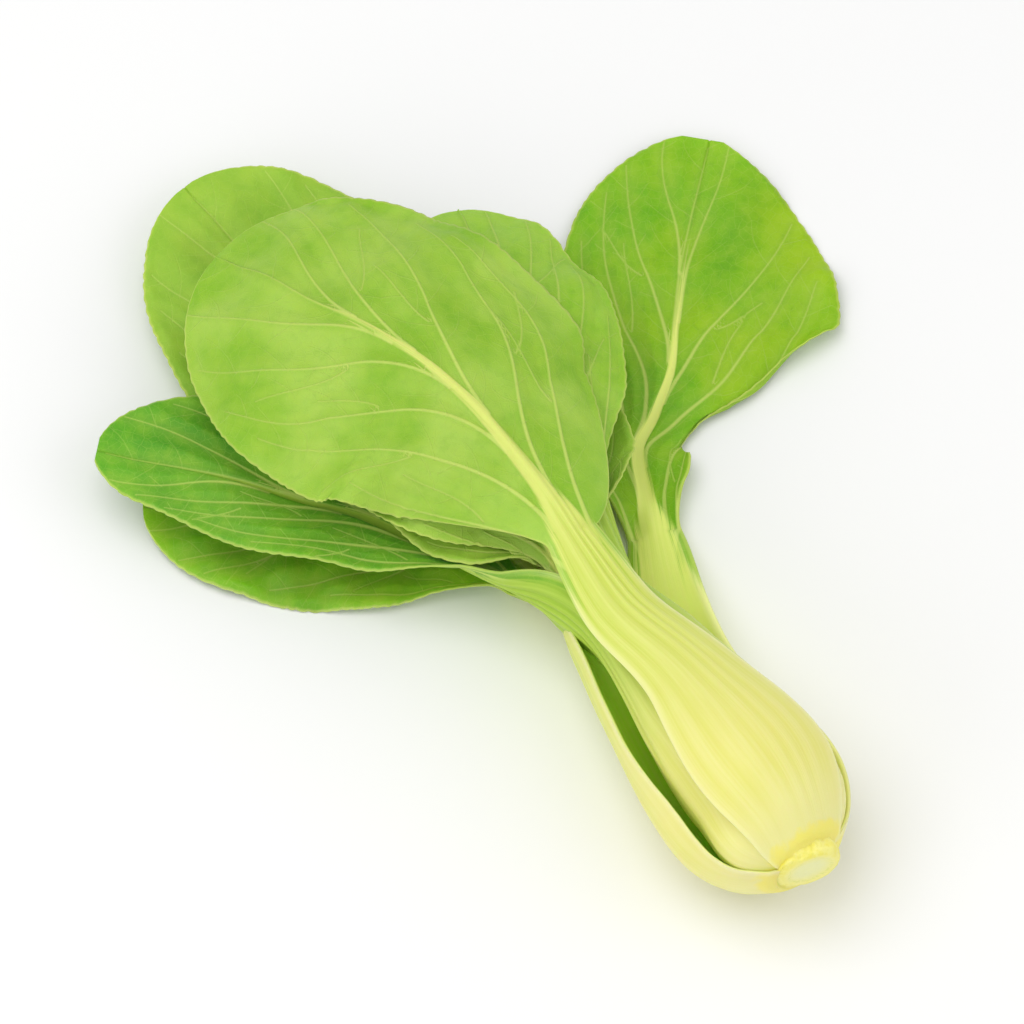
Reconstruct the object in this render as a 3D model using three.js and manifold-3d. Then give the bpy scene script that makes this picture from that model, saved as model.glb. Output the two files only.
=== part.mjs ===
// One head of Shanghai bok choy lying on its side: a short cut stem and ten leaves.
//
// The head grows along -X from its cut face at the +X end, +Z is up and it rests on z = 0. Lengths are
// millimetres and angles are degrees. A leaf is one solid: a fleshy stalk that wraps the stem, and a thin
// blade. Leaves leave the stem in a spiral, so each stalk lies inside the stalks that were there before it.
//
// The model is worked out in the head's own frame: x = 0 is the cut face, and y = z = 0 is the stem's axis.
// An azimuth turns about that axis, from 0 at the top (+Z) through 90 on the far side (+Y).

import Module from 'manifold-3d';
import * as THREE from 'three';

const manifold = await Module();
manifold.setup();
const { Manifold, Mesh } = manifold;

const rad = THREE.MathUtils.degToRad;
const clamp01 = (t) => Math.min(1, Math.max(0, t));
const smooth = (a, b, t) => {
  const k = clamp01((t - a) / (b - a));
  return k * k * (3 - 2 * k);
};
const mix = (a, b, t) => a + (b - a) * t;

// A smooth curve through [x, y] points: a cubic on each stretch, with three-point slopes.
function curve(points) {
  const n = points.length;
  const slope = (i) => (points[i + 1][1] - points[i][1]) / (points[i + 1][0] - points[i][0]);
  const slopes = points.map((p, i) => {
    if (i === 0) return slope(0);
    if (i === n - 1) return slope(n - 2);
    const before = p[0] - points[i - 1][0];
    const after = points[i + 1][0] - p[0];
    return (slope(i - 1) * after + slope(i) * before) / (before + after);
  });
  return (x) => {
    if (x <= points[0][0]) return points[0][1];
    if (x >= points[n - 1][0]) return points[n - 1][1];
    let i = 0;
    while (x > points[i + 1][0]) i += 1;
    const h = points[i + 1][0] - points[i][0];
    const t = (x - points[i][0]) / h;
    const u = 1 - t;
    return (
      points[i][1] * u * u * (1 + 2 * t) +
      points[i + 1][1] * t * t * (1 + 2 * u) +
      slopes[i] * h * t * u * u -
      slopes[i + 1] * h * t * t * u
    );
  };
}

// ---- Driving dimensions ---------------------------------------------------------------------------

// Distance along the stem from the cut face to the radius there of the bulb that the stalks make.
const bulbRadius = curve([
  [0, 8.5], [2.5, 10], [5, 13], [9, 17.6], [14, 21.2], [20, 23.6], [28, 24.6], [38, 23.8],
  [50, 21.4], [65, 18.2], [80, 15.8], [100, 14], [120, 13],
]);
const STEM = { radius: 9.6, rim: 2, shoulder: 5.4, length: 24, tip: 1.4, sides: 28 };
const GAP = 0.5; // clear space between one stalk and the next
const SPARE = 0.3; // least clear space kept where a leaf crosses another further out
const EDGE = 1; // thickness of a leaf's margin and of its blade
const SPIRAL = 137.5; // turn from each leaf to the next
const FIRST_TURN = -133; // azimuth of the first leaf's stalk
const MOST_BEND = 0.8; // the most that a blade's margin is turned down from its midline, in radians
const HEART = 2.2; // least radius of a nested stalk's outer side

// A leaf's thickness at its midline, by distance from its base.
const stalkThickness = curve([[0, 2.2], [6, 4], [20, 5.6], [50, 5.2], [100, 4]]);

// Leaves from the outermost in. For each:
//   shift    how far its stalk is off the spiral's azimuth
//   start    where it leaves the stem, from the cut face
//   tuck     how far its stalk lies inside the bulb's surface
//   stalk    half widths, around the bulb, at the base, the bulb and the neck
//   neck     distance along the leaf from its base to where the blade starts
//   blade    half widths on the two sides: [falling azimuth, rising azimuth]
//   wing     extra half width of the blade just past the neck, on the same two sides, where it has any
//   margin   outline of each side of its blade: where it is widest, as a share of the blade's length, how
//            slowly it widens up to there, and how pointed it is beyond
//   nest     stretch, from the cut face, over which it leaves its neighbours for its own path
//   path     its own path: [x, y, z, azimuth that its outer side faces]
//   cup      curvature across the blade, as 1 / radius: above 0 its inner side is hollow
//   curl     extra turn of the blade's margin towards its inner side, on the same two sides
//   wave     [height, number of waves, phase] of the margin's ripple
const oval = (widest) => [widest, 0.9, 0.5];
const LEAVES = [
  {
    name: 'outer_leaf_near', shift: 0, start: 2.6, tuck: 0, stalk: [12, 27, 13], neck: 116,
    blade: [28, 30], margin: [oval(0.56), oval(0.56)], nest: [14, 44],
    path: [
      [-44, -16.8, -16.2, -133], [-56, -15, -15.6, -133], [-70, -12.6, -15, -133], [-84, -9.2, -15.7, -134],
      [-100, -3.5, -18.5, -147], [-118, -4.5, -22.5, -170], [-136, -11.5, -24, -180], [-153, -22, -24.3, -180],
      [-169, -38, -24.3, -180], [-181, -56, -24, -180], [-192, -74, -22.5, -180],
    ],
    cup: 0.001, curl: [0, 0], wave: [0.8, 3, 0.5],
  },
  {
    name: 'outer_leaf_top', shift: 3.5, start: 2.8, tuck: 0, stalk: [13, 20.3, 7.5], neck: 110,
    blade: [47, 46], margin: [[0.52, 0.8, 0.5], [0.56, 0.5, 0.42]], nest: [45, 85],
    path: [
      [-85, -1, 16, 6], [-102, 0, 15.5, 3], [-120, 0.5, 18.5, 0], [-142, -1, 22.5, 0], [-162, -4, 23.5, 0],
      [-178, -9, 22.5, -2], [-197, -16, 18, -4], [-214, -21, 11.5, -6], [-232, -25, 1, -6],
    ],
    cup: 0.013, curl: [0, 0], wave: [1.5, 3, 2],
  },
  {
    name: 'outer_leaf_far', shift: 0, start: 3, tuck: 0, stalk: [11, 23, 7.5], neck: 116,
    blade: [41.5, 31], wing: [14.5, 6], margin: [[0.56, 5, 0.8], oval(0.62)], nest: [30, 65],
    path: [
      [-66, 14, -17, 144], [-91.5, 20.5, -19.5, 156], [-110, 28, -22, 170], [-125, 34.5, -24, 179],
      [-136, 40, -24.4, 180], [-143, 50, -24.4, 180], [-151, 60, -24.4, 180], [-162, 69, -24.2, 180],
      [-178, 83, -24, 180], [-192, 97, -23.5, 180], [-202, 107, -22, 180],
    ],
    cup: 0.001, curl: [2.6, 0], wave: [0.7, 3, 1],
  },
  {
    name: 'middle_leaf_near', shift: 8, start: 6, tuck: 3.5, stalk: [9, 21, 9], neck: 108,
    blade: [27, 18], margin: [oval(0.56), oval(0.56)], nest: [72, 100],
    path: [
      [-100, -12.5, -0.5, -88], [-111, -16, -4, -120], [-124, -20, -8, -152], [-146, -30, -10.5, -172],
      [-170, -46, -11, -177], [-190, -63, -10.5, -179], [-206, -79, -9, -179],
    ],
    cup: 0.002, curl: [0, 0], wave: [1.2, 3, 0],
  },
  {
    name: 'middle_leaf_far', shift: 5, start: 7, tuck: 0.5, stalk: [9, 21, 9], neck: 108,
    blade: [30, 30], margin: [oval(0.56), oval(0.56)], nest: [72, 98],
    path: [
      [-98, 10.5, 4, 62], [-108, 12, 5.5, 48], [-120, 14, 9, 28], [-148, 19, 12, 16], [-173, 26, 11, 14],
      [-194, 31, 4.5, 12], [-212, 36, -5, 10],
    ],
    cup: 0.013, curl: [0, 0], wave: [1, 3, 1],
  },
  {
    name: 'middle_leaf_under', shift: -3, start: 8, tuck: 1.5, stalk: [9, 21, 9.5], neck: 114,
    blade: [36, 39], margin: [oval(0.6), oval(0.6)], nest: [75, 105],
    path: [
      [-102, 0, -12.5, -176], [-114, -1, -14.5, -179], [-132, -3, -17.5, -180], [-165, -6, -19, -180],
      [-200, -9, -19, -180], [-230, -12, -17, -180], [-260, -16, -13, -180],
    ],
    cup: 0.001, curl: [0, 0], wave: [1.2, 3, 2],
  },
  {
    name: 'inner_leaf_top', shift: 0, start: 10, tuck: 0, stalk: [7, 16, 7], neck: 98,
    blade: [24, 22], margin: [oval(0.56), oval(0.56)], nest: [80, 104],
    path: [
      [-104, -1.5, 7, -15], [-118, -2.5, 7.5, -6], [-134, -6, 8.5, 0], [-150, -11, 8.5, 0], [-168, -18, 6, 0],
      [-184, -24, 0, 0],
    ],
    cup: 0.014, curl: [0, 0], wave: [0.8, 3, 0],
  },
  {
    name: 'inner_leaf_far', shift: 0, start: 11.5, tuck: 0, stalk: [7, 15, 6.5], neck: 98,
    blade: [21, 20], margin: [oval(0.56), oval(0.56)], nest: [80, 104],
    path: [
      [-104, 6, -6, 130], [-116, 9, -7.5, 155], [-132, 14, -10, 174], [-150, 20, -11.5, 178],
      [-168, 27, -11.5, 180],
    ],
    cup: 0.002, curl: [0, 0], wave: [0.8, 3, 1],
  },
  {
    name: 'inner_leaf_near', shift: 0, start: 13, tuck: 0, stalk: [6, 13, 5.5], neck: 94,
    blade: [18, 19], margin: [oval(0.56), oval(0.56)], nest: [80, 104],
    path: [
      [-104, -3, -4.5, -135], [-118, -4, -3.5, -165], [-132, -8, -3, -178], [-148, -14, -3.5, -180],
      [-162, -20, -4, -180],
    ],
    cup: 0.002, curl: [0, 0], wave: [0.5, 3, 2],
  },
  {
    name: 'heart_leaf', shift: 0, start: 14.5, tuck: 0, stalk: [5, 10, 4], neck: 86,
    blade: [13, 13], margin: [oval(0.56), oval(0.56)], nest: [80, 104],
    path: [
      [-104, 1.5, 2, 15], [-118, 1, 3, 8], [-130, 0, 3.5, 2], [-142, -1, 3, 0],
    ],
    cup: 0.02, curl: [0, 0], wave: [0.4, 2, 0],
  },
];

// How finely a leaf is divided: along its stalk, along its blade, and across each half.
const STALK_STEPS = 11;
const BLADE_STEPS = 13;
const HALF_STEPS = 4;

// ---- The spiral of stalks --------------------------------------------------------------------------

// The azimuth of the stalk of leaf number i, kept between -180 and 180.
function turnOf(i) {
  const turn = FIRST_TURN + i * SPIRAL + LEAVES[i].shift;
  return turn - 360 * Math.round(turn / 360);
}

// Half the angle that a stalk wraps, a distance d from the cut face.
function wrapOf(leaf, d) {
  const [base, bulb, neck] = leaf.stalk;
  const along = curve([[leaf.start, base], [leaf.start + 18, bulb], [60, mix(bulb, neck, 0.5)], [105, neck]]);
  return THREE.MathUtils.radToDeg(along(d) / bulbRadius(d));
}

// The depth of bulb that leaf number i takes up at distance d from the cut face and at an azimuth.
function layerDepth(i, d, azimuth) {
  const leaf = LEAVES[i];
  const off = azimuth - turnOf(i);
  const q = Math.abs(off - 360 * Math.round(off / 360)) / wrapOf(leaf, d);
  const flesh = (stalkThickness(d - leaf.start) - EDGE) * Math.max(0, 1 - q * q);
  const tuck = leaf.tuck * smooth(8, 25, d);
  return flesh + (EDGE + GAP + tuck) * (1 - smooth(1, 1.6, q));
}

// The radius of the outer side of leaf number i where it lies among its neighbours.
function nestRadius(i, d, azimuth) {
  let radius = bulbRadius(d) - LEAVES[i].tuck * smooth(8, 25, d);
  for (let outer = 0; outer < i; outer += 1) radius -= layerDepth(outer, d, azimuth);
  return Math.max(HEART, radius);
}

const polar = (d, radius, azimuth) =>
  new THREE.Vector3(-d, radius * Math.sin(rad(azimuth)), radius * Math.cos(rad(azimuth)));

// ---- One leaf --------------------------------------------------------------------------------------

// The midline of a leaf's outer side: its point, direction and outward azimuth by distance along it.
function midline(i) {
  const leaf = LEAVES[i];
  const turn = turnOf(i);
  const stations = [];
  const firstFree = -leaf.path[0][0];
  const nested = [0, 2, 5, 9, 14, 21, 30, 40, 50].map((step) => leaf.start + step);
  nested
    .filter((d) => d < Math.min(firstFree - 6, leaf.nest[1]))
    .forEach((d) => {
      const p = polar(d, nestRadius(i, d, turn), turn);
      stations.push([p.x, p.y, p.z, turn]);
    });
  leaf.path.forEach(([x, y, z, azimuth]) => {
    const off = azimuth - turn;
    stations.push([x, y, z, turn + off - 360 * Math.round(off / 360)]);
  });
  const at = [0];
  for (let k = 1; k < stations.length; k += 1) {
    const [a, b] = [stations[k - 1], stations[k]];
    at.push(at[k - 1] + Math.hypot(b[0] - a[0], b[1] - a[1], b[2] - a[2]));
  }
  const [x, y, z, azimuth] = [0, 1, 2, 3].map((c) => curve(stations.map((p, k) => [at[k], p[c]])));
  const point = (s) => new THREE.Vector3(x(s), y(s), z(s));
  const length = at[at.length - 1];
  return {
    length,
    point,
    azimuth,
    direction: (s) => point(Math.min(length, s + 1)).sub(point(Math.max(0, s - 1))).normalize(),
  };
}

// The blade's half width as a share of its widest, from 0 at the neck to 1 at the tip.
function bladeShape(u, [widest, slow, pointed]) {
  if (u <= 0) return 0;
  if (u < widest) return Math.sin((Math.PI / 2) * (u / widest)) ** slow;
  const past = (u - widest) / (1 - widest);
  return Math.max(0, 1 - past * past) ** pointed;
}

// The outer and inner points of the cross-section of leaf number i at distance s along its midline,
// from its falling-azimuth margin (v = -1) to its rising-azimuth margin (v = 1). With spare above 0 it is
// that much larger on every side.
function section(i, line, s, shares, spare) {
  const leaf = LEAVES[i];
  const turn = turnOf(i);
  const centre = line.point(s);
  const along = line.direction(s);
  const d = -centre.x;
  const outward = polar(0, 1, line.azimuth(s));
  outward.addScaledVector(along, -outward.dot(along)).normalize();
  const across = new THREE.Vector3().crossVectors(along, outward);
  const u = clamp01((s - leaf.neck) / (line.length - leaf.neck));
  const [base, bulb, neck] = leaf.stalk;
  const stalk = curve([
    [0, base], [18, bulb], [leaf.neck * 0.55, mix(bulb, neck, 0.5)], [leaf.neck, neck], [leaf.neck + 30, 0],
  ]);
  const free = smooth(leaf.nest[0], leaf.nest[1], d);
  const middle = mix(stalkThickness(s), EDGE + 0.4, smooth(0, 0.9, u));
  const bend = mix(1 / bulbRadius(d), leaf.cup, smooth(0, 0.35, u));
  const rippled = smooth(0.05, 0.4, u) * (1 - smooth(0.9, 1, u));
  const curled = smooth(0.12, 0.3, u) * (1 - smooth(0.44, 0.6, u));
  const outer = [];
  const inner = [];
  for (const v of shares) {
    const side = v < 0 ? 0 : 1;
    const bladeHalf = leaf.blade[side] * bladeShape(u, leaf.margin[side]);
    const wing = (leaf.wing ?? [0, 0])[side] * smooth(0, 0.2, u) * (1 - smooth(0.2, 0.48, u));
    const half = Math.hypot((u < 1 ? stalk(s) : 0) + wing, bladeHalf) + 0.6 + spare;
    // Where the leaf follows its own path, its section is an arc whose margin may curl further.
    const steps = 8;
    let across0 = 0;
    let lift = 0;
    let tilt = 0;
    const most = Math.min(bend * half, Math.max(MOST_BEND, bend * stalk(s)));
    for (let k = 0; k < steps; k += 1) {
      const share = (Math.abs(v) * (k + 0.5)) / steps;
      tilt = most * share + leaf.curl[side] * smooth(0.72, 1.05, share) * curled;
      across0 += (Math.cos(tilt) * Math.abs(v) * half) / steps;
      lift -= (Math.sin(tilt) * Math.abs(v) * half) / steps;
    }
    const [height, waves, phase] = leaf.wave;
    lift += height * v * v * rippled * Math.sin(2 * Math.PI * waves * u + phase + 2 * v);
    const sign = Math.sign(v);
    const own = centre.clone().addScaledVector(across, sign * across0).addScaledVector(outward, lift);
    const inwards = outward.clone().multiplyScalar(-Math.cos(tilt)).addScaledVector(across, -sign * Math.sin(tilt));
    // Where it lies among its neighbours, its section follows theirs.
    const azimuth = turn + v * (wrapOf(leaf, d) + THREE.MathUtils.radToDeg(spare / bulbRadius(d)));
    const radius = nestRadius(i, d, azimuth);
    const nested = polar(d, radius, azimuth);
    const towardsAxis = polar(0, -1, azimuth);
    const ridge = Math.min(1, mix(half, 6, smooth(0, 0.15, u)) / half);
    const room = mix(radius - spare - 0.5, middle, free);
    const thick = Math.min(room, EDGE + (middle - EDGE) * Math.max(0, 1 - (v / ridge) ** 2));
    const point = nested.lerp(own, free);
    const inside = towardsAxis.lerp(inwards, free).normalize();
    outer.push(point.clone().addScaledVector(inside, -spare));
    inner.push(point.clone().addScaledVector(inside, thick + spare));
  }
  return { outer, inner };
}

// Distances along a leaf at which it is cut into sections.
function stationsOf(leaf, length) {
  const list = [];
  for (let k = 0; k < STALK_STEPS; k += 1) list.push(leaf.neck * (k / STALK_STEPS) ** 1.3);
  for (let k = 0; k <= BLADE_STEPS; k += 1) {
    const share = 0.5 - 0.5 * Math.cos(Math.PI * (0.12 + 0.86 * (k / BLADE_STEPS)));
    list.push(mix(leaf.neck, length, k === BLADE_STEPS ? 1 : share));
  }
  return list;
}

// A closed solid through a leaf's sections: its outer side, its inner side and the rim that joins them.
function leafSolid(i, spare = 0) {
  const leaf = LEAVES[i];
  const line = midline(i);
  const shares = [];
  for (let k = -HALF_STEPS; k <= HALF_STEPS; k += 1) shares.push(Math.sign(k) * Math.abs(k / HALF_STEPS) ** 1.1);
  const sections = stationsOf(leaf, line.length).map((s) => section(i, line, s, shares, spare));
  const across = shares.length;
  const vertices = [];
  sections.forEach(({ outer, inner }) => [...outer, ...inner].forEach((p) => vertices.push(p.x, p.y, p.z)));
  const outerAt = (row, column) => row * 2 * across + column;
  const innerAt = (row, column) => outerAt(row, column) + across;
  const faces = [];
  const quad = (a, b, c, d) => faces.push(a, c, b, a, d, c);
  const last = sections.length - 1;
  for (let row = 0; row < last; row += 1) {
    for (let column = 0; column < across - 1; column += 1) {
      quad(outerAt(row, column), outerAt(row + 1, column), outerAt(row + 1, column + 1), outerAt(row, column + 1));
      quad(innerAt(row, column), innerAt(row, column + 1), innerAt(row + 1, column + 1), innerAt(row + 1, column));
    }
    const end = across - 1;
    quad(outerAt(row, 0), innerAt(row, 0), innerAt(row + 1, 0), outerAt(row + 1, 0));
    quad(outerAt(row, end), outerAt(row + 1, end), innerAt(row + 1, end), innerAt(row, end));
  }
  for (let column = 0; column < across - 1; column += 1) {
    quad(outerAt(0, column), outerAt(0, column + 1), innerAt(0, column + 1), innerAt(0, column));
    quad(outerAt(last, column), innerAt(last, column), innerAt(last, column + 1), outerAt(last, column + 1));
  }
  return new Manifold(
    new Mesh({ numProp: 3, vertProperties: new Float32Array(vertices), triVerts: new Uint32Array(faces) }),
  );
}

// Leaf number i, cut back wherever it would come too close to a leaf further out.
function leafGeometry(i) {
  let solid = leafSolid(i);
  for (let outer = 0; outer < i; outer += 1) solid = solid.subtract(leafSolid(outer, SPARE));
  const [largest] = solid.decompose().sort((a, b) => b.volume() - a.volume());
  const mesh = largest.simplify(0.02).getMesh();
  const geometry = new THREE.BufferGeometry();
  geometry.setAttribute('position', new THREE.BufferAttribute(mesh.vertProperties, 3));
  geometry.setIndex(new THREE.BufferAttribute(mesh.triVerts, 1));
  geometry.computeVertexNormals();
  return geometry;
}

// ---- The stem --------------------------------------------------------------------------------------

// The cut stem: a rim behind the cut face, and a cone that runs up inside the leaves.
function stemGeometry() {
  const { radius, rim, shoulder, length, tip, sides } = STEM;
  const profile = [
    [0, 0], [radius - 0.8, 0], [radius, 0.7], [radius, rim], [shoulder, rim + 0.2],
    [shoulder * 0.72, length * 0.42], [tip, length], [0, length],
  ].map(([r, d]) => new THREE.Vector2(r, d));
  return new THREE.LatheGeometry(profile, sides).rotateZ(Math.PI / 2);
}

// ---- The head --------------------------------------------------------------------------------------

const head = new THREE.Group();
const stemMaterial = new THREE.MeshStandardMaterial({ color: 0xe6e07a, roughness: 0.6, metalness: 0 });
const leafMaterial = new THREE.MeshStandardMaterial({ color: 0x8cbf2f, roughness: 0.5, metalness: 0 });

const stem = new THREE.Mesh(stemGeometry(), stemMaterial);
stem.name = 'cut_stem';
head.add(stem);

LEAVES.forEach((leaf, i) => {
  const mesh = new THREE.Mesh(leafGeometry(i), leafMaterial);
  mesh.name = leaf.name;
  head.add(mesh);
});

// The part's origin is the bottom centre of its box.
const box = new THREE.Box3().setFromObject(head);
const middle = box.getCenter(new THREE.Vector3());
head.position.set(-middle.x, -middle.y, -box.min.z);

const part = new THREE.Group();
part.add(head);

export default part;
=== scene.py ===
"""The looks of a head of Shanghai bok choy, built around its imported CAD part.

Every leaf is rebuilt as a fine mesh on the CAD leaf's own midline and cross-section, with a raised midrib,
a tree of veins, ribs along the stalk, and a crimped margin. Lengths in this file are millimetres until a
mesh is made, and the head's own frame has x = 0 at the cut face and y = z = 0 on the stem's axis.
"""

import math

import bpy
import numpy as np
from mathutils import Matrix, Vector, noise
from mathutils.kdtree import KDTree


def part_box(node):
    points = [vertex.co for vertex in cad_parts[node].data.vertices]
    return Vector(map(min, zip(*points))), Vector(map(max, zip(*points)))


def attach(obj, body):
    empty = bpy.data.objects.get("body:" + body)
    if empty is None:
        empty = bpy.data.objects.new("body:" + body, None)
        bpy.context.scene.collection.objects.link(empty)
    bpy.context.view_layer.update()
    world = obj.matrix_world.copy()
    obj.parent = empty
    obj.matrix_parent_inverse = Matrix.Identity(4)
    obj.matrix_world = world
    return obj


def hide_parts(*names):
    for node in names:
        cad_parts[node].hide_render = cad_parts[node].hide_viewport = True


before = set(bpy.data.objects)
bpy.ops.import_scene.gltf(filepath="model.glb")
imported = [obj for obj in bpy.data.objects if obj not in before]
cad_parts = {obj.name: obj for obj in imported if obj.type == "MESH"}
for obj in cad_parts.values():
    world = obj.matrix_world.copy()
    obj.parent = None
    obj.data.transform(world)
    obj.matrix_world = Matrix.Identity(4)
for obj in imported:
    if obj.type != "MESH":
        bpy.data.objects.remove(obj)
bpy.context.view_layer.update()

MM = 0.001
_lo, _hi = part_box("cut_stem")
ORIGIN = np.array([_hi[0], (_lo[1] + _hi[1]) / 2, (_lo[2] + _hi[2]) / 2])  # the cut face's centre, metres
FLOOR_Z = -ORIGIN[2] / MM  # the surface that the head lies on, in the head's frame


# ---- Curves --------------------------------------------------------------------------------------


def smooth(a, b, t):
    k = np.clip((np.asarray(t, float) - a) / (b - a), 0, 1)
    return k * k * (3 - 2 * k)


def mix(a, b, t):
    return a + (b - a) * t


def curve(points):
    """A smooth curve through (x, y) points: a cubic on each stretch, with three-point slopes."""
    xs, ys = np.array(points, float).T
    run = np.diff(xs)
    rise = np.diff(ys) / run
    slopes = np.empty_like(xs)
    slopes[0], slopes[-1] = rise[0], rise[-1]
    slopes[1:-1] = (rise[:-1] * run[1:] + rise[1:] * run[:-1]) / (run[:-1] + run[1:])

    def at(x):
        x = np.clip(x, xs[0], xs[-1])
        i = np.clip(np.searchsorted(xs, x, side="right") - 1, 0, len(run) - 1)
        t = (x - xs[i]) / run[i]
        u = 1 - t
        return (
            ys[i] * u * u * (1 + 2 * t)
            + ys[i + 1] * t * t * (1 + 2 * u)
            + slopes[i] * run[i] * t * u * u
            - slopes[i + 1] * run[i] * t * t * u
        )

    return at


def bezier(points, t):
    a, b, c, d = (np.asarray(p, float) for p in points)
    t = np.asarray(t)[:, None]
    u = 1 - t
    return a * u**3 + 3 * b * u * u * t + 3 * c * u * t * t + d * t**3


# ---- Driving dimensions, the same as the CAD part's ------------------------------------------------

bulb_radius = curve(
    [(0, 8.5), (2.5, 10), (5, 13), (9, 17.6), (14, 21.2), (20, 23.6), (28, 24.6), (38, 23.8)]
    + [(50, 21.4), (65, 18.2), (80, 15.8), (100, 14), (120, 13)]
)
GAP = 0.5  # clear space between one stalk and the next
EDGE = 1.0  # thickness of a leaf's margin
SPIRAL = 137.5  # turn from each leaf to the next, in degrees
FIRST_TURN = -133  # azimuth of the first leaf's stalk: 0 is the top and 90 the far side
HEART = 2.2  # least radius of a nested stalk's outer side
MOST_BEND = 0.8  # the most that a blade's margin is turned down from its midline, in radians
MOST_WRAP = 78  # the most that a stalk wraps on each side of its midline, in degrees
stalk_thickness = curve([(0, 2.2), (6, 4), (20, 5.6), (50, 5.2), (100, 4)])


def leaf(name, **facts):
    return dict(name=name, **facts)


def oval(widest):
    return (widest, 0.9, 0.5)


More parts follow.
